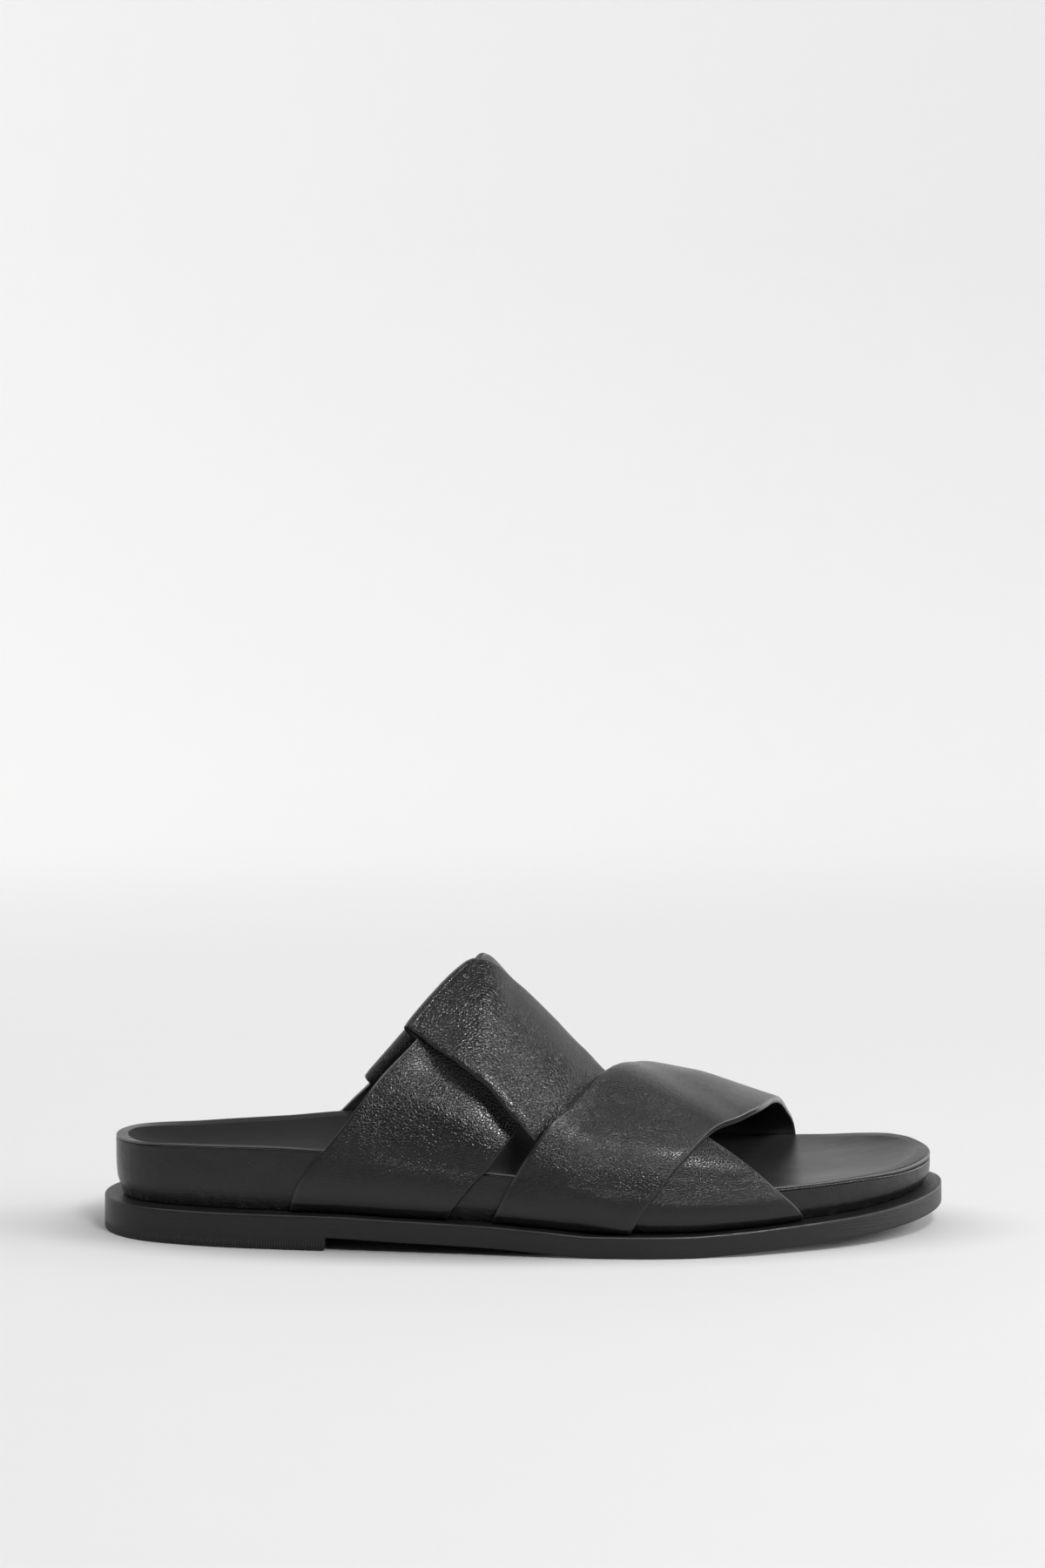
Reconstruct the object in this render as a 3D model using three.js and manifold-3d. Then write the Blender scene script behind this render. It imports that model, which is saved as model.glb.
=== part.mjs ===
import * as THREE from "three";
import Module from "manifold-3d";

// A flat slide sandal for the right foot: an outsole with a low heel, a wrapped midsole,
// a dished insole and an upper of four flat straps that cross over the instep.
// Frame: millimetres, toe towards +X, outer (lateral) side at -Y, floor at Z = 0,
// with the origin on the floor under the middle of the sandal.

// Driving sizes of the sole
const soleLength = 256;
const ballWidth = 94;
const soleThickness = 6.5;
const heelLength = 69.5;
const heelStep = 3.8;
const heelCornerBevel = 1;
const toeSpring = 6.2;
const ledgeWidth = 3.6;
const edgeBevel = 0.5;

// Driving sizes of the footbed
const heelWallHeight = 19;
const wallUndercut = 1.6;
const rimRound = 0.7;
const insoleThickness = 1.8;
const heelCupDepth = 5.5;

// Driving sizes of the upper
const instepHeight = 54;
const strapThickness = 2.4;
const strapOverlapSlope = 13;
const foldTuck = 12;

// Fits
const seatGap = 0.3;
const strapEase = 0.5;
const weldDepth = 0.4;

// Shares: of the way round the upper, of the heel's bevel, and of the ball width in the girth
const wallShare = 0.16;
const bevelRise = 0.8;
const breastLean = 0.125;
const ballInGirth = 0.6;
const hollowPower = 2.5;
const endShare = 0.1;
const tinyStep = 1e-3;

// Outline of the sole: station from heel (0) to toe (1), half widths as shares of the ball width.
const outlineRows = [
  { station: 0, lateral: 0, medial: 0 },
  { station: 0.02, lateral: 0.17, medial: 0.165 },
  { station: 0.06, lateral: 0.26, medial: 0.25 },
  { station: 0.1, lateral: 0.303, medial: 0.295 },
  { station: 0.15, lateral: 0.34, medial: 0.33 },
  { station: 0.23, lateral: 0.376, medial: 0.352 },
  { station: 0.33, lateral: 0.412, medial: 0.345 },
  { station: 0.45, lateral: 0.453, medial: 0.35 },
  { station: 0.55, lateral: 0.487, medial: 0.395 },
  { station: 0.64, lateral: 0.5, medial: 0.45 },
  { station: 0.73, lateral: 0.475, medial: 0.485 },
  { station: 0.82, lateral: 0.408, medial: 0.468 },
  { station: 0.88, lateral: 0.345, medial: 0.425 },
  { station: 0.93, lateral: 0.265, medial: 0.352 },
  { station: 0.97, lateral: 0.155, medial: 0.265 },
  { station: 1, lateral: -0.085, medial: 0.085 },
];

// Underside of the sole in front of the heel, as shares of the heel step and of the toe spring.
const undersideRows = [
  { station: 0, heel: 1, toe: 0 },
  { station: 0.27, heel: 1, toe: 0 },
  { station: 0.35, heel: 0.82, toe: 0 },
  { station: 0.45, heel: 0.6, toe: 0 },
  { station: 0.52, heel: 0.3, toe: 0 },
  { station: 0.58, heel: 0, toe: 0 },
  { station: 0.68, heel: 0, toe: 0 },
  { station: 0.75, heel: 0, toe: 0.13 },
  { station: 0.82, heel: 0, toe: 0.3 },
  { station: 0.88, heel: 0, toe: 0.47 },
  { station: 0.94, heel: 0, toe: 0.72 },
  { station: 1, heel: 0, toe: 1 },
];

// Height of the midsole's wall over the ledge, as shares of its height at the heel, and the
// depth of the footbed's dish, as shares of the heel cup's depth.
const wallRows = [
  { station: 0, lateral: 0.94, medial: 0.94, dish: 0 },
  { station: 0.03, lateral: 0.96, medial: 0.92, dish: 0.5 },
  { station: 0.1, lateral: 1.01, medial: 0.88, dish: 0.95 },
  { station: 0.2, lateral: 1.03, medial: 0.91, dish: 1 },
  { station: 0.3, lateral: 0.98, medial: 1, dish: 0.9 },
  { station: 0.45, lateral: 0.805, medial: 0.955, dish: 0.7 },
  { station: 0.58, lateral: 0.76, medial: 0.86, dish: 0.6 },
  { station: 0.7, lateral: 0.66, medial: 0.7, dish: 0.55 },
  { station: 0.8, lateral: 0.585, medial: 0.57, dish: 0.45 },
  { station: 0.88, lateral: 0.56, medial: 0.57, dish: 0.4 },
  { station: 0.92, lateral: 0.527, medial: 0.588, dish: 0.355 },
  { station: 0.95, lateral: 0.5, medial: 0.597, dish: 0.3 },
  { station: 0.975, lateral: 0.493, medial: 0.572, dish: 0.18 },
  { station: 1, lateral: 0.49, medial: 0.49, dish: 0 },
];

// Profile of the midsole's wall: height as a share of the wall, set back as a share of the undercut.
const wallProfileRows = [
  { height: 0, setBack: 1 },
  { height: 0.14, setBack: 0.62 },
  { height: 0.38, setBack: 0.15 },
  { height: 0.7, setBack: 0 },
  { height: 1, setBack: 0 },
];

// Ridge of the last over the rim: height as a share of the instep's, distance towards the inner
// side as a share of the ball width, and how round the section is (2 is an ellipse).
const ridgeRows = [
  { station: 0.16, height: 0.66, inward: 0.02, roundness: 1.8 },
  { station: 0.3, height: 0.875, inward: 0.03, roundness: 1.75 },
  { station: 0.4, height: 0.985, inward: 0.045, roundness: 1.7 },
  { station: 0.445, height: 1.02, inward: 0.05, roundness: 1.7 },
  { station: 0.48, height: 0.885, inward: 0.055, roundness: 1.72 },
  { station: 0.52, height: 0.715, inward: 0.06, roundness: 1.76 },
  { station: 0.56, height: 0.565, inward: 0.062, roundness: 1.82 },
  { station: 0.6, height: 0.49, inward: 0.065, roundness: 1.9 },
  { station: 0.64, height: 0.475, inward: 0.07, roundness: 1.95 },
  { station: 0.7, height: 0.44, inward: 0.075, roundness: 2 },
  { station: 0.76, height: 0.358, inward: 0.08, roundness: 2.05 },
  { station: 0.82, height: 0.262, inward: 0.08, roundness: 2.1 },
  { station: 0.92, height: 0.15, inward: 0.08, roundness: 2.2 },
];

// A strap's two edges, a row for each section along it. Stations run from heel to toe, and the
// way round runs from the outer ledge (0) over the ridge (0.5) to the inner ledge (1).
const instepStrapRows = [
  { back: 0.231, backAround: 0, front: 0.41, frontAround: 0 },
  { back: 0.24, backAround: 0.06, front: 0.424, frontAround: 0.06 },
  { back: 0.27, backAround: 0.155, front: 0.453, frontAround: 0.155 },
  { back: 0.3, backAround: 0.21, front: 0.48, frontAround: 0.21 },
  { back: 0.335, backAround: 0.268, front: 0.505, frontAround: 0.268 },
  { back: 0.378, backAround: 0.322, front: 0.528, frontAround: 0.322 },
  { back: 0.416, backAround: 0.38, front: 0.545, frontAround: 0.38 },
  { back: 0.447, backAround: 0.44, front: 0.556, frontAround: 0.44 },
  { back: 0.45, backAround: 0.5, front: 0.56, frontAround: 0.5 },
  { back: 0.441, backAround: 0.56, front: 0.556, frontAround: 0.56 },
  { back: 0.424, backAround: 0.62, front: 0.547, frontAround: 0.62 },
  { back: 0.388, backAround: 0.69, front: 0.527, frontAround: 0.69 },
  { back: 0.344, backAround: 0.75, front: 0.499, frontAround: 0.75 },
  { back: 0.307, backAround: 0.795, front: 0.472, frontAround: 0.795 },
  { back: 0.27, backAround: 0.85, front: 0.45, frontAround: 0.85 },
  { back: 0.245, backAround: 0.94, front: 0.425, frontAround: 0.94 },
  { back: 0.235, backAround: 1, front: 0.415, frontAround: 1 },
];
const forefootStrapRows = [
  { back: 0.463, backAround: 0, front: 0.617, frontAround: 0 },
  { back: 0.476, backAround: 0.08, front: 0.632, frontAround: 0.085 },
  { back: 0.491, backAround: 0.16, front: 0.655, frontAround: 0.175 },
  { back: 0.515, backAround: 0.218, front: 0.68, frontAround: 0.23 },
  { back: 0.55, backAround: 0.295, front: 0.71, frontAround: 0.29 },
  { back: 0.578, backAround: 0.37, front: 0.745, frontAround: 0.355 },
  { back: 0.612, backAround: 0.445, front: 0.778, frontAround: 0.435 },
  { back: 0.638, backAround: 0.51, front: 0.8, frontAround: 0.53 },
  { back: 0.66, backAround: 0.6, front: 0.813, frontAround: 0.62 },
  { back: 0.675, backAround: 0.7, front: 0.824, frontAround: 0.71 },
  { back: 0.685, backAround: 0.79, front: 0.834, frontAround: 0.79 },
  { back: 0.69, backAround: 0.86, front: 0.837, frontAround: 0.86 },
  { back: 0.693, backAround: 1, front: 0.838, frontAround: 1 },
];
const lateralStrapRows = [
  { back: 0.636, backAround: 0, front: 0.82, frontAround: 0 },
  { back: 0.612, backAround: 0.08, front: 0.805, frontAround: 0.08 },
  { back: 0.582, backAround: 0.15, front: 0.78, frontAround: 0.165 },
  { back: 0.55, backAround: 0.188, front: 0.745, frontAround: 0.235 },
  { back: 0.515, backAround: 0.22, front: 0.7, frontAround: 0.295 },
  { back: 0.48, backAround: 0.247, front: 0.64, frontAround: 0.368 },
  { back: 0.44, backAround: 0.277, front: 0.58, frontAround: 0.43 },
  { back: 0.402, backAround: 0.304, front: 0.505, frontAround: 0.458 },
  { back: 0.371, backAround: 0.331, front: 0.443, frontAround: 0.44 },
];
const medialStrapRows = [
  { back: 0.53, backAround: 1, front: 0.675, frontAround: 1 },
  { back: 0.518, backAround: 0.92, front: 0.668, frontAround: 0.92 },
  { back: 0.498, backAround: 0.85, front: 0.65, frontAround: 0.84 },
  { back: 0.455, backAround: 0.81, front: 0.602, frontAround: 0.775 },
  { back: 0.4, backAround: 0.798, front: 0.54, frontAround: 0.72 },
  { back: 0.35, backAround: 0.795, front: 0.475, frontAround: 0.678 },
  { back: 0.313, backAround: 0.788, front: 0.41, frontAround: 0.648 },
];

// How finely each solid is divided
const outlineSteps = 34;
const capSteps = 8;
const strapRowsPerEntry = 2;
const strapColumns = 7;
const foldSteps = 5;
const tuckSteps = 3;
const coverSteps = 24;

// A smooth curve through one column of a table, which never swings past its rows.
function curveThrough(rows, key, column, measure = (value) => value) {
  const at = rows.map((row) => measure(row[key]));
  const value = rows.map((row) => row[column]);
  const slope = value.slice(1).map((v, i) => (v - value[i]) / (at[i + 1] - at[i]));
  const tangent = value.map((_, i) => {
    const before = slope[Math.max(i - 1, 0)];
    const after = slope[Math.min(i, slope.length - 1)];
    return before * after <= 0 ? 0 : (2 * before * after) / (before + after);
  });
  return (where) => {
    const x = measure(where);
    let i = 0;
    while (i < at.length - 2 && x > at[i + 1]) i += 1;
    const step = at[i + 1] - at[i];
    const t = (x - at[i]) / step;
    const rise = t * t * (3 - 2 * t);
    const leave = t * (1 - t) * (1 - t) * step * tangent[i];
    const arrive = t * t * (t - 1) * step * tangent[i + 1];
    return value[i] + (value[i + 1] - value[i]) * rise + leave + arrive;
  };
}

const mix = (a, b, share) => a + (b - a) * share;
const clamp01 = (value) => Math.min(1, Math.max(0, value));
const smooth = (value) => clamp01(value) ** 2 * (3 - 2 * clamp01(value));

// Widths are drawn against the angle of a half circle, which rounds both ends of the outline.
const roundEnds = (station) => Math.acos(1 - 2 * clamp01(station));
const lateralShare = curveThrough(outlineRows, "station", "lateral", roundEnds);
const medialShare = curveThrough(outlineRows, "station", "medial", roundEnds);
const heelShare = curveThrough(undersideRows, "station", "heel");
const toeShare = curveThrough(undersideRows, "station", "toe");
const lateralWall = curveThrough(wallRows, "station", "lateral");
const medialWall = curveThrough(wallRows, "station", "medial");
const dishShare = curveThrough(wallRows, "station", "dish");
const setBackShare = curveThrough(wallProfileRows, "height", "setBack");
const ridgeShare = curveThrough(ridgeRows, "station", "height");
const ridgeInward = curveThrough(ridgeRows, "station", "inward");
const roundness = curveThrough(ridgeRows, "station", "roundness");

const alongX = (station) => (station - 0.5) * soleLength;
const lateralEdge = (station) => -lateralShare(station) * ballWidth;
const medialEdge = (station) => medialShare(station) * ballWidth;

// Heights of the sole, worked out at a station
const waistUnderside = (station) => heelShare(station) * heelStep + toeShare(station) * toeSpring;
const ledgeHeight = (station) => waistUnderside(station) + soleThickness;
const rimHeight = (station, side) =>
  ledgeHeight(station) + heelWallHeight * mix(lateralWall(station), medialWall(station), (side + 1) / 2);

// The heel is a block under the sole, with a bevelled corner at its front (breast) face.
const breastStation = heelLength / soleLength;
const bevelStation = breastStation - heelCornerBevel / soleLength;
const behindBreast = breastStation + (breastLean * heelCornerBevel) / soleLength;
function underside(station) {
  if (station <= bevelStation) return 0;
  if (station >= behindBreast) return waistUnderside(station);
  return heelCornerBevel * bevelRise;
}

// Height of the footbed's leather at a station, across from the outer rim (-1) to the inner (1).
function footbedHeight(station, across) {
  const hollow = 1 - Math.abs(across) ** hollowPower;
  return rimHeight(station, across) - heelCupDepth * dishShare(station) * hollow;
}

const stations = [bevelStation, breastStation, behindBreast];
for (let i = 0; i <= outlineSteps; i += 1) {
  stations.push((1 - Math.cos((Math.PI * i) / outlineSteps)) / 2);
}
stations.sort((a, b) => a - b);
const lastStation = stations.length - 1;

// The outline as a closed loop: outer side from heel to toe, then inner side back to the heel.
function outlineLoop() {
  const outer = stations.map((station) => ({ station, side: -1, y: lateralEdge(station) }));
  const inner = stations.slice(1, -1).map((station) => ({ station, side: 1, y: medialEdge(station) }));
  return [...outer, ...inner.reverse()];
}

// The outline set in by a distance, square to its edge.
function insetLoop(inset) {
  const loop = outlineLoop();
  const places = loop.map((point) => new THREE.Vector2(alongX(point.station), point.y));
  return loop.map((point, i) => {
    const before = places[(i + places.length - 1) % places.length];
    const after = places[(i + 1) % places.length];
    const edge = after.clone().sub(before).normalize();
    const place = places[i].clone().add(new THREE.Vector2(-edge.y, edge.x).multiplyScalar(inset));
    return { ...point, x: place.x, y: place.y };
  });
}

// A closed solid from loops, each with an inset and a height, with a bottom and a top skin.
// The height functions take a station and a place across, from -1 at the outer edge to 1.
function layeredSolid(levels) {
  const positions = [];
  const faces = [];
  const loopSize = 2 * lastStation;
  for (const level of levels) {
    for (const point of insetLoop(level.inset)) {
      positions.push([point.x, point.y, level.height(point.station, point.side)]);
    }
  }
  for (let k = 0; k + 1 < levels.length; k += 1) {
    for (let i = 0; i < loopSize; i += 1) {
      const next = (i + 1) % loopSize;
      const low = k * loopSize;
      const high = low + loopSize;
      faces.push([low + i, low + next, high + next], [low + i, high + next, high + i]);
    }
  }
  const addSkin = (level, facesUp) => {
    const start = level * loopSize;
    const inside = positions.length;
    for (let j = 1; j < lastStation; j += 1) {
      const outer = positions[start + j];
      const inner = positions[start + loopSize - j];
      for (let k = 1; k < capSteps; k += 1) {
        const share = k / capSteps;
        const height = levels[level].height(stations[j], 2 * share - 1);
        positions.push([mix(outer[0], inner[0], share), mix(outer[1], inner[1], share), height]);
      }
    }
    const index = (j, k) => {
      if (j === 0) return start;
      if (j === lastStation || k === 0) return start + j;
      if (k === capSteps) return start + loopSize - j;
      return inside + (j - 1) * (capSteps - 1) + k - 1;
    };
    for (let j = 0; j < lastStation; j += 1) {
      for (let k = 0; k < capSteps; k += 1) {
        const quad = [index(j, k), index(j + 1, k), index(j + 1, k + 1), index(j, k + 1)];
        const halves = [
          [quad[0], quad[1], quad[2]],
          [quad[0], quad[2], quad[3]],
        ];
        for (const half of halves) {
          if (new Set(half).size === 3) faces.push(facesUp ? half : half.reverse());
        }
      }
    }
  };
  addSkin(0, false);
  addSkin(levels.length - 1, true);
  return { positions, faces };
}

// Outsole: heel block and waist below, a straight edge, and a flat ledge on top.
function makeOutsole() {
  return layeredSolid([
    { inset: edgeBevel, height: underside },
    { inset: 0, height: (station) => underside(station) + edgeBevel },
    { inset: 0, height: (station) => ledgeHeight(station) - edgeBevel },
    { inset: edgeBevel, height: ledgeHeight },
  ]);
}

// Midsole: its wall stands on the ledge, a little undercut at the foot, under the insole.
function makeMidsole() {
  const base = (station) => ledgeHeight(station) + seatGap;
  const top = (station, side) => footbedHeight(station, side) - insoleThickness - seatGap;
  const wall = wallProfileRows.map((row) => ({
    inset: ledgeWidth + wallUndercut * row.setBack,
    height: (station, side) => mix(base(station), rimHeight(station, side), row.height),
  }));
  wall[wall.length - 1].height = top;
  return layeredSolid(wall);
}

// Insole: a dished sheet that reaches the rim, with its upper corner rounded.
function makeInsole() {
  const edge = ledgeWidth + seatGap / 2;
  return layeredSolid([
    { inset: edge, height: (station, side) => footbedHeight(station, side) - insoleThickness },
    { inset: edge, height: (station, side) => footbedHeight(station, side) - rimRound },
    { inset: edge + rimRound, height: footbedHeight },
  ]);
}

// The last that the straps are drawn over: up the midsole's wall, over the foot and down again.
function lastPoint(station, around) {
  const side = around < 0.5 ? -1 : 1;
  const fromEdge = side < 0 ? around : 1 - around;
  const edge = side < 0 ? lateralEdge(station) : medialEdge(station);
  const foot = ledgeHeight(station) + strapEase;
  const rim = rimHeight(station, side);
  const wallY = (height) => edge - side * (ledgeWidth - strapEase + wallUndercut * setBackShare(height));
  if (fromEdge < wallShare) {
    const height = fromEdge / wallShare;
    return new THREE.Vector3(alongX(station), wallY(height), mix(foot, rim, height));
  }
  const angle = (Math.PI * (around - wallShare)) / (1 - 2 * wallShare);
  const power = 2 / roundness(station);
  const ridgeY = ridgeInward(station) * ballWidth;
  const ridge = mix(rimHeight(station, -1), rimHeight(station, 1), 0.5) + instepHeight * ridgeShare(station);
  const y = mix(ridgeY, wallY(1), Math.abs(Math.cos(angle)) ** power);
  const z = mix(rim, ridge, Math.sin(angle) ** power);
  return new THREE.Vector3(alongX(station), y, z);
}

// The way out of the last, level at the foot of the wall so that a strap stands on the ledge.
function lastNormal(station, around) {
  const low = Math.max(around - tinyStep, 0);
  const high = Math.min(around + tinyStep, 1);
  const alongStation = lastPoint(station + tinyStep, around).sub(lastPoint(station - tinyStep, around));
  const alongGirth = lastPoint(station, high).sub(lastPoint(station, low));
  const normal = alongStation.cross(alongGirth).normalize();
  normal.z *= clamp01(Math.min(around, 1 - around) / wallShare);
  return normal.normalize();
}

// A strap's edges as curves of the share of the way along it.
function strapPath(rows) {
  const numbered = rows.map((row, i) => ({ ...row, along: i / (rows.length - 1) }));
  const curve = (column) => curveThrough(numbered, "along", column);
  const [back, backAround, front, frontAround] = ["back", "backAround", "front", "frontAround"].map(curve);
  return (along, across) => ({
    station: mix(back(along), front(along), across),
    around: mix(backAround(along), frontAround(along), across),
  });
}

// Distances on the last laid flat: the girth is taken at the instep.
const girth = 2 * (instepHeight + heelWallHeight) + ballWidth * ballInGirth;
const laidFlat = (place) => new THREE.Vector2(place.station * soleLength, place.around * girth);

// How far a strap lifts another that passes over it: 1 over it, easing to 0 beside it.
function coverOf(path) {
  const rim = [];
  for (let i = 0; i <= coverSteps; i += 1) rim.push(laidFlat(path(i / coverSteps, 0)));
  for (let i = coverSteps; i >= 0; i -= 1) rim.push(laidFlat(path(i / coverSteps, 1)));
  return (place) => {
    const point = laidFlat(place);
    let nearest = Infinity;
    let inside = false;
    rim.forEach((a, i) => {
      const b = rim[(i + 1) % rim.length];
      const line = new THREE.Line3(new THREE.Vector3(a.x, a.y), new THREE.Vector3(b.x, b.y));
      const here = new THREE.Vector3(point.x, point.y);
      nearest = Math.min(nearest, line.closestPointToPoint(here, true, new THREE.Vector3()).distanceTo(here));
      const crosses = a.y > point.y !== b.y > point.y;
      if (crosses && point.x < ((b.x - a.x) * (point.y - a.y)) / (b.y - a.y) + a.x) inside = !inside;
    });
    return inside ? 1 : smooth(1 - nearest / strapOverlapSlope);
  };
}

// One row of a strap: pairs of points on its inner and outer faces.
function strapRow(path, along, liftAt) {
  const row = [];
  for (let k = 0; k <= strapColumns; k += 1) {
    const place = path(along, k / strapColumns);
    const normal = lastNormal(place.station, place.around);
    const inner = lastPoint(place.station, place.around).addScaledVector(normal, liftAt(place));
    row.push({ inner, outer: inner.clone().addScaledVector(normal, strapThickness) });
  }
  return row;
}

// Rows that turn a strap's end round the edge of the strap under it, and tuck it inside.
function foldRows(path) {
  const rows = [];
  const radius = strapThickness;
  for (let i = 0; i <= foldSteps; i += 1) {
    const turn = (Math.PI * i) / foldSteps;
    const row = [];
    for (let k = 0; k <= strapColumns; k += 1) {
      const place = path(1, k / strapColumns);
      const point = lastPoint(place.station, place.around);
      const normal = lastNormal(place.station, place.around);
      const start = path(1, 0);
      const end = path(1, 1);
      const line = lastPoint(end.station, end.around).sub(lastPoint(start.station, start.around));
      const away = line.cross(normal).normalize();
      if (away.x > 0) away.negate();
      const centre = point.clone().addScaledVector(normal, strapThickness / 2);
      const spoke = normal.clone().multiplyScalar(Math.cos(turn)).addScaledVector(away, Math.sin(turn));
      const inner = centre.clone().addScaledVector(spoke, radius - strapThickness / 2 - weldDepth);
      row.push({ inner, outer: inner.clone().addScaledVector(spoke, strapThickness) });
    }
    rows.push(row);
  }
  const start = path(1, 0.5);
  const before = path(1 - endShare, 0.5);
  const endLength = laidFlat(start).distanceTo(laidFlat(before));
  for (let i = 1; i <= tuckSteps; i += 1) {
    const along = 1 - (endShare * foldTuck * i) / tuckSteps / endLength;
    const row = strapRow(path, along, () => weldDepth);
    rows.push(
      row.map((pair) => ({
        inner: pair.inner,
        outer: pair.inner.clone().multiplyScalar(2).sub(pair.outer),
      })),
    );
  }
  return rows;
}

// A closed band from rows of inner and outer points.
function bandSolid(rows, flipped) {
  const positions = [];
  const faces = [];
  const columns = rows[0].length;
  for (const face of ["outer", "inner"]) {
    for (const row of rows) {
      for (const pair of row) positions.push(pair[face].toArray());
    }
  }
  const inner = rows.length * columns;
  const index = (i, k) => i * columns + k;
  const addQuad = (a, b, c, d) => {
    faces.push(flipped ? [c, b, a] : [a, b, c], flipped ? [d, c, a] : [a, c, d]);
  };
  for (let i = 0; i + 1 < rows.length; i += 1) {
    for (let k = 0; k + 1 < columns; k += 1) {
      addQuad(index(i, k), index(i, k + 1), index(i + 1, k + 1), index(i + 1, k));
      const [a, b] = [inner + index(i, k), inner + index(i, k + 1)];
      const [c, d] = [inner + index(i + 1, k + 1), inner + index(i + 1, k)];
      addQuad(d, c, b, a);
    }
    const [low, lowNext] = [index(i, 0), index(i + 1, 0)];
    addQuad(low, lowNext, inner + lowNext, inner + low);
    const [high, highNext] = [index(i, columns - 1), index(i + 1, columns - 1)];
    addQuad(inner + high, inner + highNext, highNext, high);
  }
  const end = rows.length - 1;
  for (let k = 0; k + 1 < columns; k += 1) {
    addQuad(inner + index(0, k), inner + index(0, k + 1), index(0, k + 1), index(0, k));
    addQuad(index(end, k), index(end, k + 1), inner + index(end, k + 1), inner + index(end, k));
  }
  return { positions, faces };
}

const wasm = await Module();
wasm.setup();

function toManifold({ positions, faces }) {
  const mesh = new wasm.Mesh({
    numProp: 3,
    vertProperties: new Float32Array(positions.flat()),
    triVerts: new Uint32Array(faces.flat()),
  });
  return new wasm.Manifold(mesh);
}

// The upper: the instep strap lies lowest, the two side straps cross it and fold round its back
// edge, and the forefoot strap lies over the outer one. They are joined where they cross.
function makeUpper() {
  const instep = strapPath(instepStrapRows);
  const forefoot = strapPath(forefootStrapRows);
  const lateral = strapPath(lateralStrapRows);
  const medial = strapPath(medialStrapRows);
  const overInstep = coverOf(instep);
  const overLateral = coverOf(lateral);
  const overMedial = coverOf(medial);
  const step = strapThickness - weldDepth;
  const flat = () => 0;
  const onInstep = (place) => step * overInstep(place);
  const onSides = (place) => {
    const under = Math.max(overLateral(place), overMedial(place));
    return step * under * (1 + overInstep(place));
  };
  const straps = [
    { path: instep, entries: instepStrapRows.length, lift: flat, folded: false },
    { path: lateral, entries: lateralStrapRows.length, lift: onInstep, folded: true },
    { path: medial, entries: medialStrapRows.length, lift: onInstep, folded: true },
    { path: forefoot, entries: forefootStrapRows.length, lift: onSides, folded: false },
  ];
  const joined = straps
    .map((strap) => {
      const count = (strap.entries - 1) * strapRowsPerEntry;
      const rows = [];
      for (let i = 0; i <= count; i += 1) rows.push(strapRow(strap.path, i / count, strap.lift));
      if (strap.folded) {
        rows.pop();
        rows.push(...foldRows(strap.path));
      }
      const solid = toManifold(bandSolid(rows, false));
      return solid.volume() > 0 ? solid : toManifold(bandSolid(rows, true));
    })
    .reduce((whole, solid) => whole.add(solid));
  // The leather is pressed together where straps cross, so the outer shell alone is kept.
  return joined.decompose().reduce((most, shell) => (shell.volume() > most.volume() ? shell : most));
}

function meshOf(name, solid, material) {
  const made = solid.getMesh();
  const count = made.vertProperties.length / made.numProp;
  const positions = new Float32Array(count * 3);
  for (let i = 0; i < count; i += 1) {
    positions.set(made.vertProperties.subarray(i * made.numProp, i * made.numProp + 3), i * 3);
  }
  const geometry = new THREE.BufferGeometry();
  geometry.setAttribute("position", new THREE.BufferAttribute(positions, 3));
  geometry.setIndex(new THREE.BufferAttribute(new Uint32Array(made.triVerts), 1));
  geometry.computeVertexNormals();
  const mesh = new THREE.Mesh(geometry, material);
  mesh.name = name;
  return mesh;
}

const soleEdge = new THREE.MeshStandardMaterial({ color: 0x1b1a1a, roughness: 0.5, metalness: 0 });
const wrapLeather = new THREE.MeshStandardMaterial({ color: 0x121212, roughness: 0.45, metalness: 0 });
const insoleLeather = new THREE.MeshStandardMaterial({ color: 0x141414, roughness: 0.5, metalness: 0 });
const strapLeather = new THREE.MeshStandardMaterial({ color: 0x111112, roughness: 0.4, metalness: 0 });

const sandal = new THREE.Group();
sandal.name = "slide_sandal";
sandal.add(meshOf("outsole", toManifold(makeOutsole()), soleEdge));
sandal.add(meshOf("midsole", toManifold(makeMidsole()), wrapLeather));
sandal.add(meshOf("insole", toManifold(makeInsole()), insoleLeather));
sandal.add(meshOf("upper", makeUpper(), strapLeather));

// The origin is the middle of the whole sandal's box, on the floor.
const box = new THREE.Box3().setFromObject(sandal);
const middle = box.getCenter(new THREE.Vector3());
sandal.position.set(-middle.x, -middle.y, -box.min.z);

export default sandal;
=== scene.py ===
import math

import bpy
import numpy as np
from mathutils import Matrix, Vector


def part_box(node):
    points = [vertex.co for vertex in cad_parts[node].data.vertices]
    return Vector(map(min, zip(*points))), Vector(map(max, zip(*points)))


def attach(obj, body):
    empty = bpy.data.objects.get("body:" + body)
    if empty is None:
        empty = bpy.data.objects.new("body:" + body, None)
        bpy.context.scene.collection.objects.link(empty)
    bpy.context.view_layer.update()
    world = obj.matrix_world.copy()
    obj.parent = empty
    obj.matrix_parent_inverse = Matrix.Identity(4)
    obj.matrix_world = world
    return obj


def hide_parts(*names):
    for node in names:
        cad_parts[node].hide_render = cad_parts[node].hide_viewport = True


# A flat slide sandal in black leather: the detailed pieces that stand for the CAD solids.
# All sizes are millimetres in the shoe's own frame (heel at -X, outer side at -Y, floor at 0).
# The first group of sizes and the tables down to MEDIAL_STRAP have the CAD source's values.
# The rest belongs to the visible leather, whose straps are a little thinner than the solids.

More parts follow.
